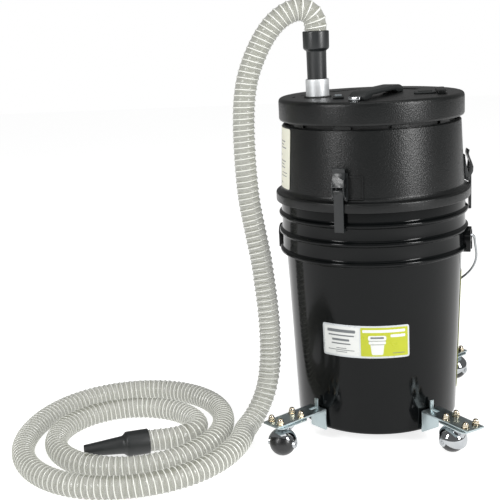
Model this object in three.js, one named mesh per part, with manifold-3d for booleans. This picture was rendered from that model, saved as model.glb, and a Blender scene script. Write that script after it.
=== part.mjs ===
// Portable dust collector: a motor head clamped on a filter pail, four ball casters, and a suction hose.
// Millimetres, +Z up. The origin is on the floor, on the pail's axis. The front faces -Y.

import * as THREE from 'three';
import { mergeVertices } from 'three/addons/utils/BufferGeometryUtils.js';
import Module from 'manifold-3d';

const wasm = await Module();
wasm.setup();

// ---- driving dimensions ----
const GAP = 0.3; // between touching pieces
const ROUND = 40; // facets round the big shells

const PAIL_BASE_Z = 17.7;
const PAIL_BASE_R = 131.4;
const PAIL_SLOPE = 0.0397; // wall radius gained per mm of height
const PAIL_WALL = 2.5;
const PAIL_RIM_Z = 386;
const RING_Z = [297.3, 328.4, 357.1]; // undersides of the three stiffening rings
const RING_R = 152.6;
const COLLAR_R = 147.8; // between the rings

const FLANGE_R = 156;
const FLANGE_Z = [380.2, 395.3];
const HEAD_R = [146.5, 141.8]; // at the flange, at the top
const HEAD_TOP_Z = 501.5;
const HEAD_WALL = 3.5;
const DECK_Z = [390, 394]; // floor of the motor head

const LID_R = 146.8;
const LID_Z = [507.9, 543.6];
const LID_EDGE = 7; // radius of the rounded top edge
const NECK_R = 137.4; // the lid's spigot, inside the head
const EXHAUST_WINDOWS = 10;
const WINDOW_WIDTH = 60;
const TOP = LID_Z[1]; // the lid's flat top

const INLET = [-82.5, -26]; // axis of the suction inlet
const INLET_TOP_Z = 572;
const MOTOR = [20, 6]; // axis of the motor and the filter
const FAN_Z = [396.8, 432];
const FILTER_Z = [160, 380];

const HANDLE = { x: 10, y: -46, angle: 66.6, length: 156, width: 27 };
const SWITCH = [-49, -62];
const SOCKET = [84, -30];

const LATCH_ANGLES = { front: -108.5, right: 7, rear: 127 };
const LATCH_PIVOT = [153, 401]; // [radius, z] of the lever's pin
const STRAP_PIN = [158.2, 413.5];
const BAIL_ANGLE = -12; // direction of the bail's hinge axis
const BAIL_HINGE_Z = 318;
const BAIL_HALF_WIDTH = 162;
const BAIL_REACH = 200;
const BAIL_LEG = 50; // straight part of each leg
const BAIL_WIRE_R = 2;
const BAIL_DROOP = 45.4; // degrees below level, where the wire meets the wall

const CORNERS = {
  front_left: { angle: -133.5, trail: -110 },
  front_right: { angle: -52, trail: 133 },
  rear_right: { angle: 49.5, trail: 45 },
  rear_left: { angle: 122, trail: 60 },
};
const BRACKET_R = [134.4, 239]; // inner face, tip
const BRACKET_WIDTH = 34;
const BRACKET_TOP_Z = 53.3;
const BRACKET_FOOT_Z = 17.4;
const RIVET_Z = 38;
const SHEET = 3; // thickness of the bracket
const CASTER_R = 206; // swivel axis, from the pail's axis
const TRAIL = 17; // ball axis, from the swivel axis
const BALL_R = 20.5;
const HOOD_R = [22.1, 23.6];
const BOLT_RADIAL = 43;
const BOLT_ACROSS = 21;

const HOSE_R = 18.25;
const CUFF_Z = [540, 645.5];
const COIL_CENTRE = [-402, -122];
const COIL_RADII = [188, 198, 168, 188, 148, 133, 117, 104, 112]; // one for each quarter turn, clockwise
const COIL_EXIT = 695; // degrees turned where the hose leaves the coil's inside
const NOZZLE_ANGLE = 202;
const NOZZLE_LENGTH = 99;
const NOZZLE_Z = 20;

const RISER_ROUTE = [
  [-82.5, -26, 645.8], [-82.5, -26, 653], [-86, -26.5, 668], [-96, -27, 676.5], [-110, -28, 678.5],
  [-126, -30, 673.5], [-142, -32, 663], [-156, -34, 648], [-168, -36, 630], [-181, -38, 604],
  [-191, -40, 576], [-197, -42, 545], [-200, -43, 506], [-200.5, -44, 466], [-199.5, -45, 426],
  [-197, -45, 386], [-192, -45, 350], [-187, -45, 318], [-182, -45, 286], [-178.5, -46, 252],
  [-175.5, -46, 218], [-173.5, -47, 184], [-173, -47, 157], [-173.5, -48, 131], [-175.5, -50, 105],
  [-179, -54, 82], [-185, -61, 60], [-193, -71, 41], [-202, -85, 27], [-210, -102, 20],
  [-214, -116, 18.5], [-214, -121.7, 18.5],
];
const TAIL_ROUTE = [
  [-302.1, -75.9, 18.25], [-299, -82.6, 18.25], [-295, -97, 18.25], [-297, -116, 18.25], [-308, -134, 18.25],
  [-327, -146, 18.25], [-349, -155, 19.2], [-366.6, -162.1, 19.8],
];

// ---- materials ----
const finish = (color, roughness, metalness) => new THREE.MeshStandardMaterial({ color, roughness, metalness });
const GLOSS_BLACK = finish(0x17191a, 0.12, 0);
const GRAINED_BLACK = finish(0x1c1e1f, 0.45, 0);
const SATIN_BLACK = finish(0x141516, 0.3, 0);
const RUBBER_BLACK = finish(0x1b1b1b, 0.7, 0);
const ZINC = finish(0xa9b6b8, 0.35, 1);
const CHROME = finish(0xd8dadb, 0.08, 1);
const STEEL = finish(0x9a9c9e, 0.3, 1);
const ALUMINIUM = finish(0xc9cbcc, 0.35, 1);
const PAPER = finish(0xe9e9df, 0.5, 0);
const CREAM = finish(0xdedccb, 0.5, 0);
const FILTER_MEDIA = finish(0xe6e3d6, 0.9, 0);
const CLEAR_PVC = finish(0xc6c6bd, 0.25, 0);
const GREY_PLASTIC = finish(0x6b7072, 0.4, 0);

// ---- helpers ----
const rad = THREE.MathUtils.degToRad;
const scene = new THREE.Group();

function toSolid(geometry) {
  const bare = geometry.clone();
  bare.deleteAttribute('normal');
  bare.deleteAttribute('uv');
  const merged = mergeVertices(bare, 1e-4);
  const count = merged.attributes.position.count;
  const triVerts = merged.index
    ? new Uint32Array(merged.index.array)
    : Uint32Array.from({ length: count }, (_, i) => i);
  const vertProperties = new Float32Array(merged.attributes.position.array);
  return new wasm.Manifold(new wasm.Mesh({ numProp: 3, vertProperties, triVerts }));
}

function toGeometry(solid) {
  const mesh = solid.getMesh();
  const geometry = new THREE.BufferGeometry();
  geometry.setAttribute('position', new THREE.BufferAttribute(new Float32Array(mesh.vertProperties), 3));
  geometry.setIndex(new THREE.BufferAttribute(new Uint32Array(mesh.triVerts), 1));
  return geometry;
}

function join(...geometries) {
  return toGeometry(geometries.map(toSolid).reduce((a, b) => a.add(b)));
}

function cut(geometry, ...tools) {
  return toGeometry(tools.map(toSolid).reduce((a, b) => a.subtract(b), toSolid(geometry)));
}

// A turned body about Z. The profile is a list of [radius, z] that closes on the axis or on itself.
function turned(profile, facets = ROUND) {
  const points = profile.map(([r, z]) => new THREE.Vector2(r, z));
  if (profile[0][0] > 0) points.push(points[0].clone());
  const loop = profile.map(([r, z], i) => [r, z, ...profile[(i + 1) % profile.length]]);
  const area = loop.reduce((sum, [r, z, r2, z2]) => sum + r * z2 - r2 * z, 0);
  if (area < 0) points.reverse();
  return new THREE.LatheGeometry(points, facets).rotateX(Math.PI / 2);
}

const ring = (inner, outer, z0, z1, facets = 32) =>
  turned([[inner, z0], [outer, z0], [outer, z1], [inner, z1]], facets);
const disc = (radius, z0, z1, facets = 24) =>
  new THREE.CylinderGeometry(radius, radius, z1 - z0, facets).rotateX(Math.PI / 2).translate(0, 0, (z0 + z1) / 2);
const block = (x0, x1, y0, y1, z0, z1) =>
  new THREE.BoxGeometry(x1 - x0, y1 - y0, z1 - z0).translate((x0 + x1) / 2, (y0 + y1) / 2, (z0 + z1) / 2);

// A round bar along X, for pins and holes that point outwards.
const barX = (radius, x0, x1, z, facets = 16) =>
  new THREE.CylinderGeometry(radius, radius, x1 - x0, facets).rotateZ(Math.PI / 2).translate((x0 + x1) / 2, 0, z);
// A round bar along Y, centred on y = 0.
const barY = (radius, length, x, z, facets = 16) =>
  new THREE.CylinderGeometry(radius, radius, length, facets).translate(x, 0, z);

// A plate whose outline is drawn in (x, z), with its thickness from y0 to y1.
function plateXZ(outline, y0, y1) {
  const shape = new THREE.Shape(outline.map(([x, z]) => new THREE.Vector2(x, z)));
  const plate = new THREE.ExtrudeGeometry(shape, { depth: y1 - y0, bevelEnabled: false });
  return plate.rotateX(Math.PI / 2).translate(0, y1, 0);
}

function roundedRect(width, depth, radius) {
  const x = width / 2;
  const y = depth / 2;
  const shape = new THREE.Shape();
  shape.moveTo(-x + radius, -y).lineTo(x - radius, -y).absarc(x - radius, -y + radius, radius, -Math.PI / 2, 0);
  shape.lineTo(x, y - radius).absarc(x - radius, y - radius, radius, 0, Math.PI / 2);
  shape.lineTo(-x + radius, y).absarc(-x + radius, y - radius, radius, Math.PI / 2, Math.PI);
  shape.lineTo(-x, -y + radius).absarc(-x + radius, -y + radius, radius, Math.PI, Math.PI * 1.5);
  return shape;
}

const slab = (shape, z0, z1) =>
  new THREE.ExtrudeGeometry(shape, { depth: z1 - z0, bevelEnabled: false, curveSegments: 4 }).translate(0, 0, z0);

function tube(route, radius, steps, sides) {
  const section = new THREE.Shape();
  for (let i = 0; i < sides; i += 1) {
    const angle = (2 * Math.PI * i) / sides;
    const point = [radius * Math.cos(angle), radius * Math.sin(angle)];
    if (i === 0) section.moveTo(...point);
    else section.lineTo(...point);
  }
  const path = new THREE.CatmullRomCurve3(route.map((p) => new THREE.Vector3(...p)));
  return new THREE.ExtrudeGeometry(section, { steps, extrudePath: path, bevelEnabled: false });
}

// A thin sheet that follows a cone: centred on an angle, "width" degrees wide, from z0 to z1.
function wrapped(radiusAt, angle, width, z0, z1, thickness) {
  const across = Math.ceil(width / 6);
  const sheet = new THREE.BoxGeometry(width, thickness, z1 - z0, across, 1, 1).toNonIndexed();
  const at = sheet.attributes.position;
  for (let i = 0; i < at.count; i += 1) {
    const z = at.getZ(i) + (z0 + z1) / 2;
    const r = radiusAt(z) + thickness / 2 - at.getY(i);
    const turn = rad(angle + at.getX(i));
    at.setXYZ(i, r * Math.cos(turn), r * Math.sin(turn), z);
  }
  return sheet;
}

function add(name, geometry, material, place = scene) {
  const mesh = new THREE.Mesh(geometry, material);
  mesh.name = name;
  place.add(mesh);
}

// A group turned so that its own +X points outwards at the angle.
function outwards(angle, x = 0, y = 0) {
  const group = new THREE.Group();
  group.position.set(x, y, 0);
  group.rotation.z = rad(angle);
  scene.add(group);
  return group;
}

const pailRadius = (z) => PAIL_BASE_R + (z - PAIL_BASE_Z) * PAIL_SLOPE;
const headRadius = (z) => HEAD_R[0] + ((HEAD_R[1] - HEAD_R[0]) * (z - FLANGE_Z[1])) / (HEAD_TOP_Z - FLANGE_Z[1]);

// ---- pail ----
function pail() {
  const inside = pailRadius(RING_Z[0]) - PAIL_WALL;
  const rings = RING_Z.flatMap((z) => [[COLLAR_R, z - 2], [RING_R, z], [RING_R, z + 4], [COLLAR_R, z + 7]]);
  rings[0] = [pailRadius(RING_Z[0]), RING_Z[0] - 3];
  const body = turned([
    [0, PAIL_BASE_Z + 4], [121, PAIL_BASE_Z + 4], [124, PAIL_BASE_Z], [129.5, PAIL_BASE_Z],
    [pailRadius(20), 20.5], ...rings, [COLLAR_R, PAIL_RIM_Z], [COLLAR_R - PAIL_WALL - 1, PAIL_RIM_Z],
    [inside, RING_Z[0]], [PAIL_BASE_R - PAIL_WALL, PAIL_BASE_Z + 7], [0, PAIL_BASE_Z + 7],
  ]);
  const ears = [BAIL_ANGLE, BAIL_ANGLE + 180].map((angle) =>
    join(block(145.5, 158.5, -13, 13, 292, BAIL_HINGE_Z), barX(13, 145.5, 158.5, BAIL_HINGE_Z, 20))
      .rotateZ(rad(angle)));
  const bores = [BAIL_ANGLE, BAIL_ANGLE + 180].map((angle) =>
    barX(BAIL_WIRE_R + 0.6, 150, 165, BAIL_HINGE_Z).rotateZ(rad(angle)));
  const rivetHoles = Object.values(CORNERS).flatMap(({ angle }) =>
    [-9, 9].map((y) => barX(3.7, 120, 140, RIVET_Z, 8).translate(0, y, 0).rotateZ(rad(angle))));
  return cut(join(body, ...ears), ...bores, ...rivetHoles);
}
add('pail', pail(), GLOSS_BLACK);
add('pail_label', wrapped((z) => pailRadius(z) + 0.5, -97, 58, 148, 201, 0.4), PAPER);
add('side_label', wrapped((z) => pailRadius(z) + 0.5, 5, 26, 54, 254, 0.4), PAPER);

// ---- bail ----
// The wire lies in a plane through its hinge axis. Its two end pins turn inwards and run in the ears.
function bailWire() {
  const right = [[BAIL_HALF_WIDTH, -BAIL_WIRE_R], [BAIL_HALF_WIDTH, BAIL_LEG / 2], [BAIL_HALF_WIDTH, BAIL_LEG]];
  for (let i = 1; i < 9; i += 1) {
    const turn = (Math.PI / 2) * (i / 9);
    right.push([BAIL_HALF_WIDTH * Math.cos(turn), BAIL_LEG + (BAIL_REACH - BAIL_LEG) * Math.sin(turn)]);
  }
  const left = right.map(([x, y]) => [-x, y]).reverse();
  const route = [...right, [0, BAIL_REACH], ...left].map(([x, y]) => [x, y, 0]);
  const pin = barX(BAIL_WIRE_R, BAIL_HALF_WIDTH - 11, BAIL_HALF_WIDTH + 1, 0, 8);
  return join(tube(route, BAIL_WIRE_R, 40, 8), pin, pin.clone().rotateZ(Math.PI));
}
const bail = outwards(BAIL_ANGLE);
const bailPlane = new THREE.Group();
bailPlane.position.z = BAIL_HINGE_Z;
bailPlane.rotation.x = rad(-BAIL_DROOP);
bail.add(bailPlane);
add('bail_wire', bailWire(), STEEL, bailPlane);

// ---- motor head ----
const headInside = (z) => headRadius(z) - HEAD_WALL;
const housingShell = turned([
  [30, DECK_Z[0]], [150.4, DECK_Z[0]], [150.4, FLANGE_Z[0]], [FLANGE_R, FLANGE_Z[0]], [FLANGE_R, FLANGE_Z[1] - 1.5],
  [FLANGE_R - 1.5, FLANGE_Z[1]], [149.5, FLANGE_Z[1] + 0.8], [HEAD_R[0], FLANGE_Z[1] + 4], [HEAD_R[1], HEAD_TOP_Z],
  [headInside(HEAD_TOP_Z), HEAD_TOP_Z], [headInside(DECK_Z[1]), DECK_Z[1]], [30, DECK_Z[1]],
]);
const passage = (radius, z0, z1) => disc(radius, z0, z1).translate(INLET[0], INLET[1], 0);
const intake = disc(34, DECK_Z[0] - 1, DECK_Z[1] + 1, 32).translate(MOTOR[0], MOTOR[1], 0);
add('motor_housing', cut(housingShell, passage(18.9, DECK_Z[0] - 1, DECK_Z[1] + 1), intake), GRAINED_BLACK);
add('rim_gasket', ring(143, 149.6, PAIL_RIM_Z + GAP, DECK_Z[0] - GAP, ROUND), RUBBER_BLACK);
add('head_label', wrapped((z) => headRadius(z) + 0.6, -180, 58, 404, 499, 0.4), CREAM);

// The lid's edge is a quarter round and its spigot carries the exhaust windows. A low bar stands on its right side.
function lid() {
  const edge = [0, 1, 2, 3].map((i) => {
    const turn = (i * Math.PI) / 6;
    return [LID_R - LID_EDGE + LID_EDGE * Math.cos(turn), LID_Z[1] - LID_EDGE + LID_EDGE * Math.sin(turn)];
  });
  const shell = turned([
    [NECK_R - 4, 494], [NECK_R, 494], [NECK_R, LID_Z[0]], [LID_R, LID_Z[0]], ...edge,
    [0, LID_Z[1]], [0, LID_Z[1] - 4], [NECK_R - 4, LID_Z[1] - 4],
  ]);
  const windows = [];
  for (let i = 0; i < EXHAUST_WINDOWS; i += 1) {
    const turn = (2 * Math.PI * (i + 0.5)) / EXHAUST_WINDOWS;
    const half = WINDOW_WIDTH / 2;
    windows.push(block(128, 141, -half, half, HEAD_TOP_Z + 1, LID_Z[0] - 0.8).rotateZ(turn));
  }
  const rest = block(102, 116, -57, 10, TOP - 1, TOP + 6);
  const socketHole = block(-13.8, 13.8, -10.3, 10.3, TOP - 10, TOP + 1).translate(...SOCKET, 0);
  return cut(join(shell, rest), passage(18.9, 530, 550), socketHole, ...windows);
}
add('lid', lid(), GRAINED_BLACK);

// ---- motor ----
const motor = outwards(0, ...MOTOR);
add('motor_gasket', ring(36, 71, DECK_Z[1] + GAP, FAN_Z[0] - GAP, 24), RUBBER_BLACK, motor);
const fanShell = turned([
  [28, FAN_Z[0]], [72, FAN_Z[0]], [72, FAN_Z[1]], [9, FAN_Z[1]], [9, FAN_Z[1] - 2], [70, FAN_Z[1] - 2],
  [70, FAN_Z[0] + 2], [28, FAN_Z[0] + 2],
], 24);
add('fan_shell', fanShell, STEEL, motor);
const blades = [0, 1, 2, 3, 4, 5].map((i) => block(9, 62, -0.8, 0.8, 402, 420.5).rotateZ((i * Math.PI) / 3));
const wheel = join(ring(3.5, 63, 420, 423, 24), ring(3.5, 11, 401, 421, 16), ...blades);
add('impeller', cut(wheel, disc(4.4, 395, 430, 16)), ALUMINIUM, motor);
const shaft = turned([[0, 399], [4, 399], [4, 440], [21, 440], [21, 484], [4, 484], [4, 494], [0, 494]], 16);
add('motor_shaft', shaft, STEEL, motor);
const motorCase = turned([
  [10, FAN_Z[1] + GAP], [46, FAN_Z[1] + GAP], [46, 478], [30, 491], [4.6, 491], [4.6, 488],
  [28, 488], [42, 476], [42, 436], [10, 436],
], 20);
add('motor_case', motorCase, STEEL, motor);

// ---- filter ----
const pleats = new THREE.Shape();
for (let i = 0; i < 72; i += 1) {
  const r = i % 2 ? 76 : 67;
  const turn = (2 * Math.PI * i) / 72;
  if (i === 0) pleats.moveTo(r, 0);
  else pleats.lineTo(r * Math.cos(turn), r * Math.sin(turn));
}
pleats.holes.push(new THREE.Path().absarc(0, 0, 50, 0, 2 * Math.PI, true));
const mediaHeight = FILTER_Z[1] - FILTER_Z[0];
const media = new THREE.ExtrudeGeometry(pleats, { depth: mediaHeight, bevelEnabled: false, curveSegments: 12 });
add('filter_cartridge', media.translate(0, 0, FILTER_Z[0]), FILTER_MEDIA, motor);
add('filter_top_ring', ring(36, 78, FILTER_Z[1] + GAP, DECK_Z[0] - GAP, 24), RUBBER_BLACK, motor);
add('filter_end_cap', disc(78, FILTER_Z[0] - 6, FILTER_Z[0] - GAP, 32), SATIN_BLACK, motor);

// ---- suction inlet ----
const inlet = outwards(0, ...INLET);
add('inlet_tube', ring(15.8, 18.4, 522, INLET_TOP_Z, 24), ALUMINIUM, inlet);
const downpipe = ring(15.8, 18.4, 330, 521.7, 24);
const mitre = block(-40, 40, -40, 40, 300, 330).rotateY(rad(35)).translate(-175, 0, 70);
add('inlet_downpipe', cut(downpipe, mitre), SATIN_BLACK, inlet);

// ---- carry handle, switch and power inlet on the lid ----
const handle = outwards(HANDLE.angle, HANDLE.x, HANDLE.y);
const reach = HANDLE.length / 2;
const strapOutline = [
  [-reach, TOP + 0.4], [-reach + 22, TOP + 0.4], [-reach + 34, TOP + 5.3], [reach - 34, TOP + 5.3],
  [reach - 22, TOP + 0.4], [reach, TOP + 0.4], [reach, TOP + 6], [reach - 14, TOP + 12.2], [reach - 26, TOP + 13.2],
  [-reach + 26, TOP + 13.2], [-reach + 14, TOP + 12.2], [-reach, TOP + 6],
];
add('handle_strap', plateXZ(strapOutline, -HANDLE.width / 2, HANDLE.width / 2), RUBBER_BLACK, handle);
for (const [name, side] of [['handle_cap_front', -1], ['handle_cap_rear', 1]]) {
  const cap = roundedRect(9, HANDLE.width - 8, 2);
  add(name, slab(cap, TOP + 0.4, TOP + 6.6).translate(side * (reach + 4.9), 0, 0), CHROME, handle);
}
const rocker = outwards(0, ...SWITCH);
const bezel = cut(slab(roundedRect(17, 27, 2), TOP + GAP, TOP + 4), block(-5.6, 5.6, -10.6, 10.6, TOP, TOP + 6));
add('switch_bezel', bezel, GREY_PLASTIC, rocker);
const rockerOutline = [
  [-9.6, TOP + 2.6], [0, TOP + 0.6], [9.6, TOP + 2.6], [9.6, TOP + 4.6], [0, TOP + 3.6], [-9.6, TOP + 6.6],
];
add('switch_rocker', plateXZ(rockerOutline, -5.2, 5.2).rotateZ(Math.PI / 2), SATIN_BLACK, rocker);
const socket = outwards(0, ...SOCKET);
const socketBezel = slab(roundedRect(33, 27, 3), TOP + GAP, TOP + 3);
const socketBody = join(socketBezel, block(-13.5, 13.5, -10, 10, TOP - 19, TOP + 1));
const socketRecess = block(-11, 11, -7.8, 7.8, TOP - 13, TOP + 5);
add('power_inlet', cut(socketBody, socketRecess), SATIN_BLACK, socket);

// ---- draw latches ----
// The lever turns on a pin in the base. The strap hangs on a second pin and hooks under the pail's top ring.
function latch(name, angle) {
  const place = outwards(angle);
  const back = block(147.2, 148.8, -11.6, 11.6, 400.4, 440);
  const ear = [[148, 401], [150.5, 398.2], [154, 397.6], [156.5, 400], [156.5, 403], [152, 416], [148, 438]];
  const base = join(back, plateXZ(ear, 10, 11.6), plateXZ(ear, -11.6, -10), barY(1.6, 22, ...LATCH_PIVOT, 12));
  add(`${name}_latch_base`, base, SATIN_BLACK, place);
  const cheek = [
    [150.6, 399.6], [152.6, 398.4], [155, 399.2], [161.6, 411.5], [162.2, 420], [158.9, 430], [156.7, 430],
    [155.5, 417], [151, 403],
  ];
  const blade = [[160, 420], [162.2, 420], [154.6, 441], [156.2, 447.5], [154.2, 448.6], [152.4, 441.5]];
  const cheeks = [plateXZ(cheek, 8, 9.6), plateXZ(cheek, -9.6, -8)];
  const lever = cut(
    join(...cheeks, plateXZ(blade, -9.6, 9.6), barY(1.4, 17.6, ...STRAP_PIN, 12)),
    barY(2, 30, ...LATCH_PIVOT, 12),
  );
  add(`${name}_latch_lever`, lever, SATIN_BLACK, place);
  const side = [
    [150.2, 351], [159.4, 351], [159.4, 409.5], [161.4, 412.3], [161.4, 414.9], [159.6, 416.7],
    [156.8, 416.7], [155, 414.9], [155, 412.3], [157, 409.5], [157, 353.4], [152.2, 353.4], [152.2, 355.4],
    [150.2, 355.4],
  ];
  const strap = cut(plateXZ(side, -7.5, 7.5), barY(1.8, 20, ...STRAP_PIN, 12));
  add(`${name}_latch_strap`, strap, SATIN_BLACK, place);
}
for (const [name, angle] of Object.entries(LATCH_ANGLES)) latch(name, angle);

// ---- brackets and ball casters ----
function bracket() {
  const half = BRACKET_WIDTH / 2;
  const strip = block(BRACKET_R[0], BRACKET_R[1], -half, half, BRACKET_TOP_Z - SHEET, BRACKET_TOP_Z);
  const foot = block(BRACKET_R[0], BRACKET_R[0] + SHEET, -half, half, BRACKET_FOOT_Z, BRACKET_TOP_Z);
  const tab = block(BRACKET_R[0] + 4, BRACKET_R[0] + 7, -3.2, 3.2, BRACKET_TOP_Z - 1, BRACKET_TOP_Z + 15);
  const rivets = [-9, 9].flatMap((y) =>
    [barX(3.1, 124, BRACKET_R[0] + 1, RIVET_Z, 8), barX(5.5, 124, 126.2, RIVET_Z, 8)].map((g) => g.translate(0, y, 0)));
  const slot = block(BRACKET_R[0] + 7.5, BRACKET_R[0] + 21, -3.6, 3.6, BRACKET_TOP_Z - 9, BRACKET_TOP_Z + 1);
  const holes = boltPlaces().map(([x, y]) => disc(2.9, 40, 60, 8).translate(x, y, 0));
  return cut(join(strip, foot, tab, ...rivets), slot, ...holes);
}

function boltPlaces() {
  return [-1, 1].flatMap((i) => [-1, 1].map((j) => [CASTER_R + (i * BOLT_RADIAL) / 2, (j * BOLT_ACROSS) / 2]));
}

// The caster's top plate, its raceway, and the four studs with their cap nuts.
function casterPlate() {
  const top = BRACKET_TOP_Z - SHEET - GAP;
  const plate = slab(roundedRect(BOLT_RADIAL + 16, BOLT_ACROSS + 20, 9), top - 2.2, top).translate(CASTER_R, 0, 0);
  const raceway = disc(13, top - 4.2, top - 1, 12).translate(CASTER_R, 0, 0);
  const nut = BRACKET_TOP_Z + GAP;
  const dome = [[0, nut], [5.2, nut], [5.2, nut + 5], [3.4, nut + 8.8], [0, nut + 10]];
  const studs = boltPlaces().flatMap(([x, y]) =>
    [disc(2.4, top - 1, nut + 1, 6), turned(dome, 6)].map((g) => g.translate(x, y, 0)));
  return join(plate, raceway, ...studs);
}

// A sphere with its poles on X.
const ballShape = (radius, around, along) => new THREE.SphereGeometry(radius, around, along).rotateZ(Math.PI / 2);

// The hood is drawn with its swivel axis at the origin and its ball ahead at +X, and the ball's axle along Y.
function casterHood() {
  const top = BRACKET_TOP_Z - SHEET - GAP - 4.2 - GAP;
  const shell = toSolid(ballShape(HOOD_R[1], 14, 8).rotateZ(Math.PI / 2));
  const cover = toSolid(block(-30, 30, -30, 30, 0, 40).rotateY(rad(-32)).translate(0, 0, -1));
  const lugs = toSolid(barY(6.5, 60, 0, 0, 12));
  const neckTop = top - BALL_R;
  const neck = toSolid(turned([[0, 6], [5, 6], [8, 14], [12.5, neckTop - 3], [12.5, neckTop], [0, neckTop]], 12));
  const inner = toSolid(ballShape(HOOD_R[0], 12, 8).rotateZ(Math.PI / 2));
  const bore = toSolid(barY(2.3, 60, 0, 0, 8));
  const hood = shell.intersect(cover.add(lugs)).add(neck.translate([-TRAIL, 0, 0])).subtract(inner).subtract(bore);
  return toGeometry(hood).translate(TRAIL, 0, BALL_R);
}

function caster(name, { angle, trail }) {
  const corner = outwards(angle);
  add(`${name}_bracket`, bracket(), ZINC, corner);
  add(`${name}_caster_plate`, casterPlate(), STEEL, corner);
  const swivel = outwards(trail, CASTER_R * Math.cos(rad(angle)), CASTER_R * Math.sin(rad(angle)));
  add(`${name}_caster_hood`, casterHood(), CHROME, swivel);
  const ball = cut(ballShape(BALL_R, 16, 10).rotateZ(Math.PI / 2), barY(2.4, 60, 0, 0, 8));
  add(`${name}_caster_ball`, ball.translate(TRAIL, 0, BALL_R), RUBBER_BLACK, swivel);
  add(`${name}_caster_axle`, barY(2, 2 * HOOD_R[1] + 1, TRAIL, BALL_R, 8), STEEL, swivel);
}
for (const [name, corner] of Object.entries(CORNERS)) caster(name, corner);

// ---- hose ----
const cuff = turned([
  [12.5, CUFF_Z[0]], [14.4, CUFF_Z[0]], [15.4, INLET_TOP_Z + 4], [15.6, 616], [20.3, 618.5],
  [20.5, CUFF_Z[1] - 2],
  [19.6, CUFF_Z[1]], [12.5, CUFF_Z[1]],
], 20);
add('hose_cuff', cuff, SATIN_BLACK, inlet);
add('hose_riser', tube(RISER_ROUTE, HOSE_R, 54, 8), CLEAR_PVC);

// The coil's radius after some degrees of clockwise turn, smooth between the quarter turns.
function coilRadius(degrees) {
  const place = degrees / 90;
  const i = Math.floor(place);
  const last = COIL_RADII.length - 1;
  const [a, b, c, d] = [i - 1, i, i + 1, i + 2].map((k) => COIL_RADII[THREE.MathUtils.clamp(k, 0, last)]);
  const t = place - i;
  return 0.5 * (2 * b + (c - a) * t + (2 * a - 5 * b + 4 * c - d) * t * t + (3 * b - a - 3 * c + d) * t * t * t);
}

// The outer shape of the coil's turns: a spiral outline with a step where the hose comes in,
// and a spiral hole with a step where it leaves.
function coilBody() {
  const edge = (from, offset) => {
    const points = [];
    for (let turn = from; turn <= from + 360; turn += 10) {
      const r = coilRadius(turn) + offset;
      const spoke = new THREE.Vector2(r * Math.cos(rad(-turn)), r * Math.sin(rad(-turn)));
      points.push(spoke.add(new THREE.Vector2(...COIL_CENTRE)));
    }
    return points;
  };
  return cut(slab(new THREE.Shape(edge(0, HOSE_R)), 0, 2 * HOSE_R),
    slab(new THREE.Shape(edge(COIL_EXIT - 360, -HOSE_R)), -1, 2 * HOSE_R + 1));
}
add('hose_coil', coilBody(), CLEAR_PVC);
add('hose_tail', tube(TAIL_ROUTE, HOSE_R, 12, 8), CLEAR_PVC);

const end = TAIL_ROUTE[TAIL_ROUTE.length - 1];
const nozzle = turned([
  [14, 0], [19.8, 0], [19.8, 33], [14.2, 38], [9, NOZZLE_LENGTH], [6.8, NOZZLE_LENGTH],
  [11.8, 38], [14, 26],
], 16).rotateY(Math.PI / 2);
const nozzlePlace = outwards(NOZZLE_ANGLE, end[0], end[1]);
add('hose_nozzle', nozzle.translate(1.5, 0, NOZZLE_Z), SATIN_BLACK, nozzlePlace);

export default scene;
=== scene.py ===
import math

import bmesh
import bpy
from mathutils import Matrix, Vector


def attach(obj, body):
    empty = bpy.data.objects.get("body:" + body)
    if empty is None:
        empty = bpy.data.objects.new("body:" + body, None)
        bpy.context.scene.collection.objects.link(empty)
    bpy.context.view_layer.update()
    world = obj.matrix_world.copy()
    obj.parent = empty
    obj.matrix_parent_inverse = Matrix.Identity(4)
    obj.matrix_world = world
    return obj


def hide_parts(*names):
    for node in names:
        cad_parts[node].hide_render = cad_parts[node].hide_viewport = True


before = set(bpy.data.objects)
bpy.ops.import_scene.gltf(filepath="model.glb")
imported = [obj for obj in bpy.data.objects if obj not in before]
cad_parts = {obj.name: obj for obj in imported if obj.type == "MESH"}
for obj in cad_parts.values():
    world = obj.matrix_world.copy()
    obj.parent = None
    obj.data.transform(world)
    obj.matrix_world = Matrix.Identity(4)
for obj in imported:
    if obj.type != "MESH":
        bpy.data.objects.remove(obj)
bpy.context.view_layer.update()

# Portable dust collector. Shapes are drawn in millimetres, and piece() brings them to metres.
MM = 0.001
TOP = 543.6  # lid's flat top
PAIL_FOOT_Z, PAIL_FOOT_R = 17.7, 131.4
PAIL_SLOPE = 0.0397  # radius gained per mm of height
FLANGE_TOP = 395.3
HEAD_FOOT_R, HEAD_TAPER, HEAD_HEIGHT = 146.5, 4.7, 106.2
RINGS = (297.3, 328.4, 357.1)  # undersides of the pail's stiffening rings
INLET = (-82.5, -26)  # axis of the suction inlet
INLET_BORE = 18.9
MOTOR = (20, 6)  # axis of the motor
INTAKE_R = 34
LATCHES = {"front": -108.5, "right": 7, "rear": 127}
CORNERS = {  # direction of the bracket, direction of the ball from its swivel
    "front_left": (-133.5, -110),
    "front_right": (-52, 133),
    "rear_right": (49.5, 45),
    "rear_left": (122, 60),
}
BAIL_ANGLE = -12
BAIL_HINGE_Z = 318
BAIL_DROOP = 45.4  # degrees below level
CASTER_R = 206  # swivel axis, from the pail's axis
TRAIL = 17  # ball's axis, from the swivel axis
BALL_R = 20.5
STRIP_TOP = 53.3
RIVET_Z = 38
LEVER_PIN = (153, 401)  # (radius, z)
STRAP_PIN = (158.2, 413.5)


def pail_radius(z):
    return PAIL_FOOT_R + (z - PAIL_FOOT_Z) * PAIL_SLOPE


def head_radius(z):
    return HEAD_FOOT_R - HEAD_TAPER * (z - FLANGE_TOP) / HEAD_HEIGHT


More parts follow.
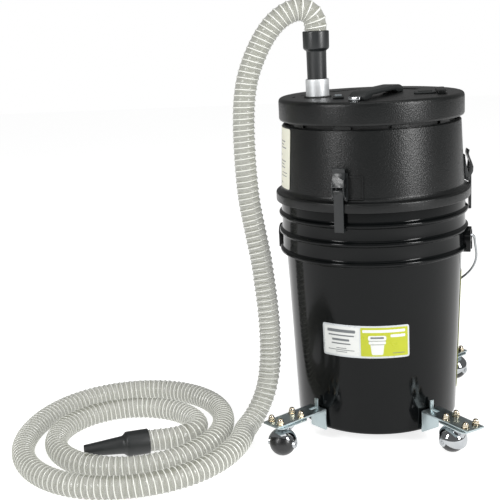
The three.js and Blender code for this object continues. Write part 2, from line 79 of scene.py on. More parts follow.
# ---- camera ----
CAMERA_AT = Vector((0, -1.61602, 0.67708))
YAW, PITCH, ROLL = -0.126303, 0.232169, -0.0496662
LENS_MM = 72.055


def place_camera():
    ahead = Vector((math.sin(YAW) * math.cos(PITCH), math.cos(YAW) * math.cos(PITCH), -math.sin(PITCH)))
    level = Vector((math.cos(YAW), -math.sin(YAW), 0))
    raised = level.cross(ahead)
    right = math.cos(ROLL) * level + math.sin(ROLL) * raised
    up = math.cos(ROLL) * raised - math.sin(ROLL) * level
    data = bpy.data.cameras.new("camera")
    data.lens, data.sensor_width = LENS_MM, 36
    camera = bpy.data.objects.new("camera", data)
    camera.matrix_world = Matrix.Translation(CAMERA_AT) @ Matrix((right, up, -ahead)).transposed().to_4x4()
    bpy.context.scene.collection.objects.link(camera)
    bpy.context.scene.camera = camera


place_camera()


# ---- shaping ----
def about_z(degrees, x=0, y=0, z=0):
    return Matrix.Translation((x, y, z)) @ Matrix.Rotation(math.radians(degrees), 4, "Z")


def placed(shape, matrix):
    bmesh.ops.transform(shape, matrix=matrix, verts=shape.verts)
    return shape


def clean(shape, apart=0.002):
    """Merges doubles and points every face outwards."""
    bmesh.ops.remove_doubles(shape, verts=shape.verts, dist=apart)
    bmesh.ops.recalc_face_normals(shape, faces=shape.faces)
    return shape


def rounded(corners, closed=False, steps=4):
    """The line through corners (x, y), where a corner (x, y, reach) is rounded from that far on either side."""
    line = []
    for i, corner in enumerate(corners):
        here = Vector(corner[:2])
        if len(corner) == 2 or (not closed and i in (0, len(corners) - 1)):
            line.append(here)
            continue
        before, after = (Vector(corners[(i + k) % len(corners)][:2]) for k in (-1, 1))
        start = here + (before - here).normalized() * corner[2]
        end = here + (after - here).normalized() * corner[2]
        for k in range(steps + 1):
            t = k / steps
            line.append(start.lerp(here, t).lerp(here.lerp(end, t), t))
    return line


def turned(profile, steps=96, closed=False):
    """A body turned about Z. The profile runs from axis to axis, or closes on itself."""
    shape = bmesh.new()
    verts = [shape.verts.new((r, 0, z)) for r, z in profile]
    edges = [shape.edges.new(pair) for pair in zip(verts, verts[1:])]
    if closed:
        edges.append(shape.edges.new((verts[-1], verts[0])))
    bmesh.ops.spin(
        shape, geom=verts + edges, cent=(0, 0, 0), axis=(0, 0, 1), angle=2 * math.pi, steps=steps,
        use_merge=True,
    )
    return clean(shape)


SHARP = math.radians(30)


def soften(shape, width, segments=2):
    """Rounds the sharp edges."""
    edges = [e for e in shape.edges if e.is_manifold and e.calc_face_angle(0) > SHARP]
    bmesh.ops.bevel(
        shape, geom=edges, offset=width, offset_type="OFFSET", segments=segments,
        affect="EDGES", profile=0.5, material=-1, clamp_overlap=True,
    )
    return shape


def block(x0, x1, y0, y1, z0, z1, edge=0.0, segments=2):
    shape = bmesh.new()
    middle = Matrix.Translation(((x0 + x1) / 2, (y0 + y1) / 2, (z0 + z1) / 2))
    bmesh.ops.create_cube(shape, size=1, matrix=middle @ Matrix.Diagonal((x1 - x0, y1 - y0, z1 - z0, 1)))
    return soften(shape, edge, segments) if edge else shape


def plate(outline, low, high, edge=0.0, flat=False):
    """A plate with its outline in (x, z) and its thickness along y, or lying flat with its outline in (x, y)."""
    shape = bmesh.new()
    face = shape.faces.new([shape.verts.new((x, y, low) if flat else (x, low, y)) for x, y in outline])
    moved = bmesh.ops.extrude_face_region(shape, geom=[face])["geom"]
    way = (0, 0, high - low) if flat else (0, high - low, 0)
    bmesh.ops.translate(shape, vec=way, verts=[v for v in moved if isinstance(v, bmesh.types.BMVert)])
    clean(shape)
    return soften(shape, edge) if edge else shape


def rod(radius, start, end, sides=24, edge=0.0):
    """A round bar between two points."""
    start, end = Vector(start), Vector(end)
    shape = bmesh.new()
    turn = (end - start).to_track_quat("Z", "Y").to_matrix().to_4x4()
    bmesh.ops.create_cone(
        shape, cap_ends=True, segments=sides, radius1=radius, radius2=radius,
        depth=(end - start).length, matrix=Matrix.Translation((start + end) / 2) @ turn,
    )
    return soften(shape, edge) if edge else shape


def ball(radius, centre=(0, 0, 0), around=48, along=24):
    """A sphere with its poles on Y."""
    shape = bmesh.new()
    matrix = Matrix.Translation(centre) @ Matrix.Rotation(math.pi / 2, 4, "X")
    bmesh.ops.create_uvsphere(shape, u_segments=around, v_segments=along, radius=radius, matrix=matrix)
    return shape


def together(*shapes):
    """The shapes in one bmesh."""
    whole = bmesh.new()
    for shape in shapes:
        mesh = bpy.data.meshes.new("part")
        shape.to_mesh(mesh)
        shape.free()
        whole.from_mesh(mesh)
        bpy.data.meshes.remove(mesh)
    return whole


def combined(body, way, *tools):
    """A boolean of body with each tool in turn: DIFFERENCE, INTERSECT or UNION."""
    objects = []
    for shape in (body, *tools):
        mesh = bpy.data.meshes.new("part")
        shape.to_mesh(mesh)
        shape.free()
        objects.append(bpy.data.objects.new("part", mesh))
        bpy.context.scene.collection.objects.link(objects[-1])
    for tool in objects[1:]:
        step = objects[0].modifiers.new("step", "BOOLEAN")
        step.operation, step.object, step.solver, step.use_self = way, tool, "EXACT", True
    bpy.context.view_layer.update()
    result = bmesh.new()
    result.from_object(objects[0], bpy.context.evaluated_depsgraph_get())
    for made in objects:
        mesh = made.data
        bpy.data.objects.remove(made)
        bpy.data.meshes.remove(mesh)
    return clean(result)


def wrapped(shape, radius_at, angle, stretch=2.5):
    """Bends a flat shape round a cone: x runs round it from the angle, z up it, and -y stands out from it."""
    xs = [v.co.x for v in shape.verts]
    for k in range(math.ceil(min(xs) / stretch), math.floor(max(xs) / stretch) + 1):
        everything = shape.verts[:] + shape.edges[:] + shape.faces[:]
        bmesh.ops.bisect_plane(
            shape, geom=everything, dist=1e-4, plane_co=(k * stretch, 0, 0), plane_no=(1, 0, 0)
        )
    for v in shape.verts:
        r = radius_at(v.co.z)
        turn = math.radians(angle) + v.co.x / r
        v.co = ((r - v.co.y) * math.cos(turn), (r - v.co.y) * math.sin(turn), v.co.z)
    return clean(shape)


def smooth_line(points, step=2.5):
    """A smooth curve through the points, as evenly spaced points."""
    points = [Vector(p) for p in points]
    ends = [2 * points[0] - points[1], *points, 2 * points[-1] - points[-2]]
    fine = [points[0]]
    for a, b, c, d in zip(ends, ends[1:], ends[2:], ends[3:]):
        t0 = 0.0
        t1 = t0 + math.sqrt((b - a).length)
        t2 = t1 + math.sqrt((c - b).length)
        t3 = t2 + math.sqrt((d - c).length)
        for k in range(1, 17):
            t = t1 + (t2 - t1) * k / 16
            a1 = a.lerp(b, (t - t0) / (t1 - t0))
            a2 = b.lerp(c, (t - t1) / (t2 - t1))
            a3 = c.lerp(d, (t - t2) / (t3 - t2))
            b1 = a1.lerp(a2, (t - t0) / (t2 - t0))
            b2 = a2.lerp(a3, (t - t1) / (t3 - t1))
            fine.append(b1.lerp(b2, (t - t1) / (t2 - t1)))
    total = sum((q - p).length for p, q in zip(fine, fine[1:]))
    count = round(total / step)
    even, walked, target = [fine[0]], 0.0, total / count
    for p, q in zip(fine, fine[1:]):
        run = (q - p).length
        while len(even) < count and walked + run >= target * len(even):
            even.append(p.lerp(q, (target * len(even) - walked) / run))
        walked += run
    even.append(fine[-1])
    for _ in range(4):
        even = [even[0], *((p + 2 * q + r) / 4 for p, q, r in zip(even, even[1:], even[2:])), even[-1]]
    return even


def line_length(line):
    return sum((q - p).length for p, q in zip(line, line[1:]))


def laid(shape, line):
    """Lays a straight shape that stands along +Z from z = 0 onto a line, without twisting it."""
    distances, frames = [0.0], []
    for p, q in zip(line, line[1:]):
        distances.append(distances[-1] + (q - p).length)
    side = Vector((0, 1, 0)) if abs((line[1] - line[0]).normalized().y) < 0.9 else Vector((1, 0, 0))
    for i in range(len(line)):
        ahead = (line[min(i + 1, len(line) - 1)] - line[max(i - 1, 0)]).normalized()
        side = (side - ahead * side.dot(ahead)).normalized()
        frames.append((line[i], side, ahead.cross(side), ahead))
    last = len(line) - 2
    for v in shape.verts:
        i = min(int(v.co.z / distances[1]), last)
        while i < last and distances[i + 1] < v.co.z:
            i += 1
        while i > 0 and distances[i] > v.co.z:
            i -= 1
        t = (v.co.z - distances[i]) / (distances[i + 1] - distances[i])
        centre, across, over, ahead = (a.lerp(b, t) for a, b in zip(frames[i], frames[i + 1]))
        v.co = centre + across.normalized() * v.co.x + over.normalized() * v.co.y
    return shape


def piece(name, shape, finish, body="pail", replaces=(), crease=35):
    """Makes the shape a finished object that rides on a CAD body, and hides the CAD nodes it stands for."""
    clean(shape)
    bmesh.ops.scale(shape, vec=(MM, MM, MM), verts=shape.verts)
    for face in shape.faces:
        face.smooth = True
    mesh = bpy.data.meshes.new(name)
    shape.to_mesh(mesh)
    shape.free()
    mesh.set_sharp_from_angle(angle=math.radians(crease))
    mesh.materials.append(finish)
    made = bpy.data.objects.new(name, mesh)
    bpy.context.scene.collection.objects.link(made)
    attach(made, body)
    if replaces:
        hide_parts(*replaces)
    return made


# ---- finishes ----
def hexed(colour):
    """An sRGB hex colour as linear RGBA."""
    parts = [int(colour[i : i + 2], 16) / 255 for i in (1, 3, 5)]
    return (*(p / 12.92 if p <= 0.04045 else ((p + 0.055) / 1.055) ** 2.4 for p in parts), 1.0)


def node(tree, kind, values=None, **settings):
    """Adds a shader node with its settings, and sets or links its inputs."""
    made = tree.nodes.new("ShaderNode" + kind)
    for name, value in settings.items():
        setattr(made, name, value)
    for key, value in (values or {}).items():
        if isinstance(value, bpy.types.NodeSocket):
            tree.links.new(value, made.inputs[key])
        else:
            made.inputs[key].default_value = value
    return made


def new_finish(name, **constants):
    """A material with a shader of constant values: its tree, its shader and its coordinates in millimetres."""
    material = bpy.data.materials.new(name)
    material.use_nodes = True
    tree = material.node_tree
    tree.nodes.clear()
    shader = node(tree, "BsdfPrincipled", {k.replace("_", " "): v for k, v in constants.items()})
    node(tree, "OutputMaterial", {"Surface": shader.outputs[0]})
    own = node(tree, "TexCoord")
    scaled = node(tree, "Mapping", {"Vector": own.outputs["Object"], "Scale": (1 / MM, 1 / MM, 1 / MM)})
    return material, tree, shader, scaled.outputs[0]


def surface(name, dark, light, patch, rough, grain, depth, stretch=(1, 1, 1), **constants):
    """A finish whose colour and roughness wander over patches so many mm wide, with a grain that wide and deep."""
    material, tree, shader, place = new_finish(name, **constants)
    drawn = node(tree, "Mapping", {"Vector": place, "Scale": stretch}).outputs[0]
    patches = node(tree, "TexNoise", {"Vector": drawn, "Scale": 1 / patch, "Detail": 4.0, "Roughness": 0.6})
    colour = node(
        tree, "Mix", {0: patches.outputs["Fac"], 6: hexed(dark), 7: hexed(light)}, data_type="RGBA"
    )
    tree.links.new(colour.outputs[2], shader.inputs["Base Color"])
    spread = node(
        tree, "MapRange",
        {"Value": patches.outputs["Fac"], "From Min": 0.3, "From Max": 0.7, "To Min": rough[0], "To Max": rough[1]},
    )
    tree.links.new(spread.outputs[0], shader.inputs["Roughness"])
    fine = node(tree, "TexNoise", {"Vector": drawn, "Scale": 1 / grain, "Detail": 2.0})
    raised = node(tree, "Bump", {"Height": fine.outputs["Fac"], "Strength": 1.0, "Distance": depth * MM})
    tree.links.new(raised.outputs[0], shader.inputs["Normal"])
    return material


# Polyethylene, injection moulded in a polished tool: deep black with clear reflections that waver a little.
GLOSS_BLACK = surface(
    "moulded_gloss_polyethylene", "#060708", "#0B0D0D", 45, (0.09, 0.16), 30, 0.09, IOR=1.51, Specular_IOR_Level=0.17,
)
# Sheet steel, electrocoated black: an even satin with a faint orange peel.
SATIN_STEEL = surface("electrocoated_black_steel", "#131516", "#1C1F20", 9, (0.26, 0.38), 0.9, 0.012, IOR=1.5)
# PVC, dipped and drawn off its former: satin black with streaks along the cuff.
BLACK_PVC = surface(
    "dipped_black_pvc", "#151718", "#222526", 7, (0.3, 0.45), 1.4, 0.02, stretch=(1, 1, 0.12), IOR=1.54
)
BLACK_PVC_FLAT = surface(
    "dipped_black_pvc_nozzle", "#151718", "#212424", 7, (0.38, 0.52), 1.2, 0.03, IOR=1.54
)
# Rubber, moulded: dull black that shows a little dust.
MOULDED_RUBBER = surface("moulded_black_rubber", "#121313", "#1F2020", 5, (0.5, 0.68), 0.8, 0.03, IOR=1.52)
# Hard rubber, turned and polished: near-black with a soft gloss and rolling scuffs.
HARD_RUBBER = surface("turned_hard_rubber", "#0E0F0F", "#1D1D1E", 6, (0.24, 0.42), 1.5, 0.02, IOR=1.55)
# Steel, zinc plated and clear passivated: cool blue-grey with a cloudy bloom.
ZINC = surface(
    "zinc_plated_steel", "#9DABAE", "#C2CDCF", 11, (0.3, 0.44), 0.7, 0.006, Metallic=1.0,
)
# Steel, zinc plated and left from the mill: grey bright metal with rolling lines.
BRIGHT_STEEL = surface(
    "bright_drawn_steel", "#8E9194", "#B5B8BA", 8, (0.22, 0.36), 0.5, 0.006, Metallic=1.0,
)
# Steel, copper and chrome plated, buffed: a mirror with the least ripple.
CHROME = surface("buffed_chrome", "#A4A7AA", "#BEC1C3", 14, (0.04, 0.09), 6, 0.012, Metallic=1.0)
# Brass cap nut, nickel plated: a mirror with a warm tint.
NICKEL = surface("nickel_plated_nut", "#C9BCA3", "#E6DCC8", 6, (0.1, 0.2), 1.5, 0.006, Metallic=1.0)
# Aluminium tube, turned: fine rings across it, bright and slightly soft.
TURNED_ALUMINIUM = surface(
    "turned_aluminium", "#C6C9CB", "#E6E8E9", 9, (0.42, 0.55), 1.6, 0.02, stretch=(0.06, 0.06, 1.8), Metallic=0.6
)
# Acrylonitrile butadiene styrene, spark-eroded tool: even mid grey with a fine matt.
GREY_ABS = surface("moulded_grey_abs", "#6F7578", "#858B8E", 6, (0.42, 0.52), 0.5, 0.02, IOR=1.53)
# Vinyl film, printed and laminated: flat colours under a light gloss.
LABEL_SILVER = surface("metallised_vinyl", "#B4B8BA", "#CDD0D1", 12, (0.25, 0.36), 3, 0.01, Metallic=0.7)
LABEL_WHITE = surface("printed_white_vinyl", "#C6C8C5", "#D3D4D1", 14, (0.25, 0.36), 4, 0.01, IOR=1.5)
LABEL_LIME = surface("printed_lime_vinyl", "#A0A616", "#ABB11D", 14, (0.25, 0.36), 4, 0.01, IOR=1.5)
LABEL_INK = surface("printed_grey_ink", "#55595B", "#6E7274", 5, (0.3, 0.4), 2, 0.01, IOR=1.5)
# Paper label, uncoated: warm cream, matt, with a trace of fibre.
CREAM_PAPER = surface("cream_paper", "#D9D8C6", "#E8E7D8", 9, (0.55, 0.7), 0.6, 0.02, IOR=1.5)
# Glass-fibre filter paper: off-white, felted and dull.
FILTER_PAPER = surface("glass_fibre_paper", "#D8D5C6", "#EAE7DB", 6, (0.85, 0.95), 0.7, 0.08, IOR=1.5)


PEBBLE_MM, LUMP_MM, CLOUD_MM = 1.7, 2.2, 40
PEBBLE_DEPTH = 0.21


def pebbled():
    """Polyethylene, rotationally moulded in an etched tool: black pebble grain that breaks highlights into
    sparks. Real pebbles are about 1 mm; they are drawn at 1.7 mm so that they show."""
    material, tree, shader, place = new_finish("pebbled_polyethylene", IOR=1.51, Specular_IOR_Level=0.32)
    pebble = node(
        tree, "TexVoronoi", {"Vector": place, "Scale": 1 / PEBBLE_MM, "Smoothness": 0.6}, feature="SMOOTH_F1"
    )
    lumps = node(tree, "TexNoise", {"Vector": place, "Scale": 1 / LUMP_MM, "Detail": 3.0})
    height = node(tree, "Math", {0: pebble.outputs["Distance"], 1: lumps.outputs["Fac"]}, operation="SUBTRACT")
    raised = node(tree, "Bump", {"Height": height.outputs[0], "Strength": 1.0, "Distance": PEBBLE_DEPTH * MM})
    tree.links.new(raised.outputs[0], shader.inputs["Normal"])
    cloud = node(tree, "TexNoise", {"Vector": place, "Scale": 1 / CLOUD_MM, "Detail": 3.0})
    ramp = node(tree, "ValToRGB", {"Fac": cloud.outputs["Fac"]})
    ramp.color_ramp.elements[0].color = hexed("#070808")
    ramp.color_ramp.elements[1].color = hexed("#0E1010")
    tree.links.new(ramp.outputs[0], shader.inputs["Base Color"])
    rough = node(tree, "MapRange", {"Value": lumps.outputs["Fac"], "To Min": 0.26, "To Max": 0.4})
    tree.links.new(rough.outputs[0], shader.inputs["Roughness"])
    return material


PEBBLED = pebbled()


def hose_pvc():
    """Clear PVC with a spiral of rigid white PVC, extruded together: the wall between the ribs shows what is behind
    it through a grey-green tint, and the ribs are nearly solid."""
    material, tree, shader, place = new_finish("extruded_clear_pvc", IOR=1.53)
    rib = node(tree, "Attribute", attribute_name="rib")
    cloud = node(tree, "TexNoise", {"Vector": place, "Scale": 1 / 6, "Detail": 3.0})
    tint = node(tree, "ValToRGB", {"Fac": rib.outputs["Fac"]})
    tint.color_ramp.elements[0].color = hexed("#8C8D80")
    tint.color_ramp.elements[1].color = hexed("#E4E5DE")
    tree.links.new(tint.outputs[0], shader.inputs["Base Color"])
    solid = node(tree, "MapRange", {"Value": rib.outputs["Fac"], "To Min": 0.55, "To Max": 0.96})
    tree.links.new(solid.outputs[0], shader.inputs["Alpha"])
    rough = node(tree, "MapRange", {"Value": cloud.outputs["Fac"], "To Min": 0.1, "To Max": 0.28})
    tree.links.new(rough.outputs[0], shader.inputs["Roughness"])
    raised = node(tree, "Bump", {"Height": cloud.outputs["Fac"], "Strength": 0.7, "Distance": 0.25 * MM})
    tree.links.new(raised.outputs[0], shader.inputs["Normal"])
    return material


HOSE_PVC = hose_pvc()

# ---- suction hose ----
RISER_ROUTE = (
    (-0.0825, -0.026, 0.6458), (-0.0825, -0.026, 0.653), (-0.086, -0.0265, 0.668), (-0.096, -0.027, 0.6765),
    (-0.11, -0.028, 0.6785), (-0.126, -0.03, 0.6735), (-0.142, -0.032, 0.663), (-0.156, -0.034, 0.648),
    (-0.168, -0.036, 0.63), (-0.181, -0.038, 0.604), (-0.191, -0.04, 0.576), (-0.197, -0.042, 0.545),
    (-0.2, -0.043, 0.506), (-0.2005, -0.044, 0.466), (-0.1995, -0.045, 0.426), (-0.197, -0.045, 0.386),
    (-0.192, -0.045, 0.35), (-0.187, -0.045, 0.318), (-0.182, -0.045, 0.286), (-0.1785, -0.046, 0.252),
    (-0.1755, -0.046, 0.218), (-0.1735, -0.047, 0.184), (-0.173, -0.047, 0.157), (-0.1735, -0.048, 0.131),
    (-0.1755, -0.05, 0.105), (-0.179, -0.054, 0.082), (-0.185, -0.061, 0.06), (-0.193, -0.071, 0.041),
    (-0.202, -0.085, 0.027), (-0.21, -0.102, 0.02), (-0.214, -0.116, 0.0185),
)
TAIL_ROUTE = (
    (-0.3021, -0.0759, 0.01825), (-0.299, -0.0826, 0.01825), (-0.295, -0.097, 0.01825),
    (-0.297, -0.116, 0.01825), (-0.308, -0.134, 0.01825), (-0.327, -0.146, 0.01825), (-0.349, -0.155, 0.0192),
    (-0.3666, -0.1621, 0.0198),
)
COIL_CENTRE = (-0.402, -0.122)
# One radius for each quarter turn, clockwise.
COIL_RADII = (0.188, 0.198, 0.168, 0.188, 0.148, 0.133, 0.117, 0.104, 0.112)
COIL_EXIT = 695  # degrees turned where the hose leaves the coil
COIL_STEP = 10  # degrees
HOSE_R = 18.25
RIB_PITCH = 9
RIB_FOOT, RIB_RISE = 17.2, 0.8  # where the wall turns into rib
HOSE_SIDES = 20
# Height along one pitch and radius: the rib, then the thin wall sagging between ribs.
HOSE_PROFILE = ((0.0, 18.2), (0.9, 18.1), (1.5, 17.2), (3.0, 16.9), (5.0, 16.7), (7.0, 16.9), (8.4, 17.2))


def coil_radius(degrees):
    """The coil's radius after some degrees of clockwise turn, smooth between the quarter turns."""
    i = int(degrees // 90)
    t = degrees / 90 - i
    a, b, c, d = (COIL_RADII[max(0, min(k, len(COIL_RADII) - 1))] for k in (i - 1, i, i + 1, i + 2))
    return 0.5 * (2 * b + (c - a) * t + (2 * a - 5 * b + 4 * c - d) * t * t + (3 * b - a - 3 * c + d) * t**3)


def hose_route():
    route = list(RISER_ROUTE)
    for degrees in range(0, COIL_EXIT - COIL_STEP // 2, COIL_STEP):
        r, turn = coil_radius(degrees), -math.radians(degrees)
        route.append((COIL_CENTRE[0] + r * math.cos(turn), COIL_CENTRE[1] + r * math.sin(turn), HOSE_R * MM))
    return [Vector(p) / MM for p in (*route, *TAIL_ROUTE)]


def corrugated(length):
    """A straight hose with a spiral rib: one wall profile spun about Z while it advances by one pitch."""
    shape = bmesh.new()
    profile = [
        (z + turn * RIB_PITCH, r)
        for turn in range(-2, math.ceil(length / RIB_PITCH) + 1)
        for z, r in HOSE_PROFILE
    ]
    verts = [shape.verts.new((r, 0, z)) for z, r in profile]
    edges = [shape.edges.new(pair) for pair in zip(verts, verts[1:])]
    bmesh.ops.spin(
        shape, geom=verts + edges, cent=(0, 0, 0), axis=(0, 0, 1), angle=2 * math.pi, steps=HOSE_SIDES,
        dvec=(0, 0, RIB_PITCH / HOSE_SIDES), use_merge=False,
    )
    bmesh.ops.remove_doubles(shape, verts=shape.verts, dist=0.01)
    for height, way in ((0, -1), (length, 1)):
        everything = shape.verts[:] + shape.edges[:] + shape.faces[:]
        bmesh.ops.bisect_plane(
            shape, geom=everything, dist=1e-4, plane_co=(0, 0, height), plane_no=(0, 0, way), clear_outer=True
        )
        rim = [e for e in shape.edges if e.is_boundary and all(abs(v.co.z - height) < 0.01 for v in e.verts)]
        bmesh.ops.contextual_create(shape, geom=rim)
    rib = shape.verts.layers.float.new("rib")
    for v in shape.verts:
        v[rib] = min(1.0, max(0.0, (v.co.xy.length - RIB_FOOT) / RIB_RISE))
    return shape


hose_line = smooth_line(hose_route())
hose_length = line_length(hose_line)
hose = piece(
    "suction_hose", laid(corrugated(hose_length), hose_line), HOSE_PVC,
    replaces=("hose_riser", "hose_coil", "hose_tail"), crease=60,
)

cuff_profile = rounded((
    (12.5, 545), (14.2, 545, 0.6), (15.2, 574), (15.6, 615, 1.5), (20.3, 618.6, 1.8), (20.6, 645.3, 1.6),
    (19, 645.3, 0.6), (18.6, 640), (12.5, 640),
), closed=True)
cuff = piece(
    "hose_cuff_sleeve", placed(turned(cuff_profile, 64, closed=True), about_z(0, *INLET)), BLACK_PVC,
    replaces=("hose_cuff",),
)
nozzle_profile = rounded((
    (14, 4), (18.4, 4), (18.4, 0, 0.5), (19.9, 0, 1.4), (19.9, 36, 2), (14.4, 41, 2.5), (9, 103, 1), (6.8, 103, 0.8),
    (11.8, 42), (14, 30),
), closed=True)
NOZZLE_ANGLE, NOZZLE_Z = 202, 20
nozzle_at = (TAIL_ROUTE[-1][0] / MM, TAIL_ROUTE[-1][1] / MM)
nozzle_turn = about_z(NOZZLE_ANGLE, *nozzle_at, z=NOZZLE_Z) @ Matrix.Rotation(math.pi / 2, 4, "Y")
nozzle = piece(
    "crevice_nozzle", placed(turned(nozzle_profile, 64, closed=True), nozzle_turn @ Matrix.Translation((0, 0, -4))),
    BLACK_PVC_FLAT, replaces=("hose_nozzle",),
)

# ---- pail ----
def pail_shell():
    inside = pail_radius(RINGS[0]) - 2.5
    outline = [
        (0, 21.7), (121, 21.7, 1.5), (124, 17.7, 1.2), (129.5, 17.7, 1.2), (pail_radius(21), 21, 1.5),
        (pail_radius(160), 160), (pail_radius(RINGS[0] - 4), RINGS[0] - 4, 1.5),
    ]
    for i, z in enumerate(RINGS):
        if i:
            outline.append((147.8, z - 2.4, 1.4))
        outline += [(152.6, z, 1.1), (152.6, z + 3.6, 1.3), (147.8, z + 6.6, 1.6)]
    outline += [(147.8, 386, 0.8), (144.3, 386, 0.8), (inside, RINGS[0]), (128.9, 24.7, 2), (0, 24.7)]
    return turned(rounded(outline), 128)


def bail_ear():
    """The pail's boss for the bail: an arch over a pocket with a rib on either side."""
    def bar(radius, start, end, *more):
        return rod(radius, (start, 0, BAIL_HINGE_Z), (end, 0, BAIL_HINGE_Z), *more)

    arch = together(block(145.5, 158.5, -13, 13, 292, BAIL_HINGE_Z, 1.2), bar(13, 145.5, 158.5, 40, 1.2))
    body = combined(arch, "UNION")
    pocket = block(150, 160, -9.4, 9.4, 285, 308, 0.8)
    notch = together(bar(8.5, 154.5, 160, 32), bar(2.7, 150, 160, 20))
    return combined(body, "DIFFERENCE", pocket, combined(notch, "UNION"))


ears = [placed(bail_ear(), about_z(BAIL_ANGLE + turn)) for turn in (0, 180)]
piece("pail_shell", together(pail_shell(), *ears), GLOSS_BLACK, replaces=("pail",), crease=40)


def bail_line():
    """The wire's line in its own plane: two pins, two straight legs and a half ellipse."""
    half, reach, leg = 162, 200, 50
    arc = [
        (half * math.cos(math.radians(a)), leg + (reach - leg) * math.sin(math.radians(a)), 0)
        for a in range(0, 181, 9)
    ]
    return [
        (half - 11, 0, 0), (half - 3, 0, 0), (half, 3, 0), (half, 25, 0), *arc,
        (-half, 25, 0), (-half, 3, 0), (3 - half, 0, 0), (11 - half, 0, 0),
    ]


wire_line = smooth_line(bail_line(), 3)
wire_length = line_length(wire_line)
wire = turned([(0, 0), *((2, wire_length * k / 200) for k in range(201)), (0, wire_length)], 16)
bail_place = about_z(BAIL_ANGLE, z=BAIL_HINGE_Z) @ Matrix.Rotation(math.radians(-BAIL_DROOP), 4, "X")
piece("bail_handle_wire", placed(laid(wire, wire_line), bail_place), BRIGHT_STEEL, "bail", ("bail_wire",))


# ---- labels ----
def panel(x0, x1, z0, z1, out, thick, corner=1.5):
    """A flat rectangle with rounded corners, standing so far out."""
    outline = rounded(((x0, z0, corner), (x1, z0, corner), (x1, z1, corner), (x0, z1, corner)), closed=True, steps=3)
    return plate(outline, -out, thick - out)


def on_pail(angle, *shapes):
    return wrapped(together(*shapes), pail_radius, angle)


LABEL_AT = -97
piece(
    "front_label_film", on_pail(LABEL_AT, panel(-69.5, 69.5, 148, 201, 0.9, 0.4, 4)), LABEL_SILVER,
    replaces=("pail_label",),
)
piece("front_label_white_half", on_pail(LABEL_AT, panel(-66.5, -8, 151, 198, 0.98, 0.2)), LABEL_WHITE)
piece("front_label_lime_half", on_pail(LABEL_AT, panel(-6, 67, 151, 198, 0.98, 0.2)), LABEL_LIME)
print_lines = [
    panel(x0, x1, z, z + tall, 1.04, 0.1, tall / 3)
    for x0, x1, z, tall in (
        (-61, -14, 188, 5), (-59, -16, 182, 2.2), (-53, -24, 174, 3.6), (-54, -22, 168.5, 2),
        (-46, -29, 161.5, 1.1), (-60, -16, 158.5, 1.1), (-47, -28, 155.5, 1.1), (43, 62, 155.5, 1),
    )
]
piece("front_label_print", on_pail(LABEL_AT, *print_lines), LABEL_INK)
white_lines = [panel(x0, x1, z, z + 4.6, 1.04, 0.1, 1.4) for x0, x1, z in ((-3, 63, 190), (40, 63, 182))]
pail_picture = [
    plate(rounded(((11, 153.5, 2), (28, 153.5, 2), (30, 170), (9, 170)), closed=True), -1.04, -0.94),
    panel(6.5, 32.5, 171, 176, 1.04, 0.1, 1.5), panel(5.5, 33.5, 177, 185, 1.04, 0.1, 3),
]
piece("front_label_white_print", on_pail(LABEL_AT, *white_lines, *pail_picture), LABEL_WHITE)
piece(
    "front_label_picture_ink",
    on_pail(LABEL_AT, panel(9, 30, 180, 183, 1.1, 0.1, 1.4), panel(6.5, 32.5, 176.1, 176.9, 1.1, 0.1, 0.3),
            panel(9.2, 29.8, 170.1, 170.9, 1.1, 0.1, 0.3)), LABEL_INK,
)
piece(
    "side_label_lime_edge", on_pail(5, panel(-31, 31, 54, 254, 0.9, 0.4, 4)), LABEL_LIME,
    replaces=("side_label",),
)
piece("side_label_white", on_pail(5, panel(-28, 28, 57, 251, 0.98, 0.2, 2)), LABEL_WHITE)
side_lines = [panel(-22, x1, z, z + 2.4, 1.04, 0.1, 0.8) for z, x1 in
              ((238, 14), (230, 20), (214, 18), (207, 12), (200, 20), (184, 16), (177, 19), (170, 6),
               (150, 20), (143, 10), (130, 17), (123, 20), (102, 8), (84, 18), (77, 13), (66, 19))]
piece("side_label_print", on_pail(5, *side_lines), LABEL_INK)


def on_head(angle, *shapes):
    return wrapped(together(*shapes), head_radius, angle)


piece(
    "head_label_paper", on_head(180, panel(-72.5, 72.5, 404, 499, 1.0, 0.4, 3)), CREAM_PAPER,
    replaces=("head_label",),
)
head_lines = [panel(x0, x1, z, z + tall, 1.06, 0.1, tall / 3) for x0, x1, z, tall in (
    (-58, 20, 486, 4), (-58, 52, 477, 1.8), (-58, 44, 472, 1.8), (-58, 57, 467, 1.8), (-58, 30, 454, 3),
    (-58, 55, 446, 1.6), (-58, 48, 441, 1.6), (-58, 52, 436, 1.6), (34, 62, 428, 1.2), (30, 60, 423, 1.2),
    (-58, 10, 420, 3), (-58, 40, 411, 1.6),
)]
piece("head_label_print", on_head(180, *head_lines), LABEL_INK)

# ---- motor head ----
housing_profile = rounded((
    (30, 390), (150.4, 390, 1), (150.4, 380.2, 1), (156, 380.2, 1.2), (156, 394.2, 2.2), (149.4, 396.4, 1.6),
    (146.4, 400.5, 2), (141.8, 501.5, 1.4), (138.3, 501.5, 1), (142.9, 394, 2), (30, 394),
), closed=True)
housing = combined(
    turned(housing_profile, 128, closed=True), "DIFFERENCE",
    rod(INLET_BORE, (*INLET, 380), (*INLET, 400), 48), rod(INTAKE_R, (*MOTOR, 380), (*MOTOR, 400), 48),
)
frames = [
    on_head(angle + 8.8, panel(x0, x1, z0, z1, 2.2, 2.5, 0.6))
    for angle in LATCHES.values()
    for x0, x1, z0, z1 in ((-11.4, 11.4, 433.4, 435), (-11.4, 11.4, 399.5, 401), (-11.4, -9.8, 400, 434.5),
                           (9.8, 11.4, 400, 434.5))
]
piece(
    "motor_head_housing", together(housing, *frames), PEBBLED, replaces=("motor_housing",),
    crease=40,
)
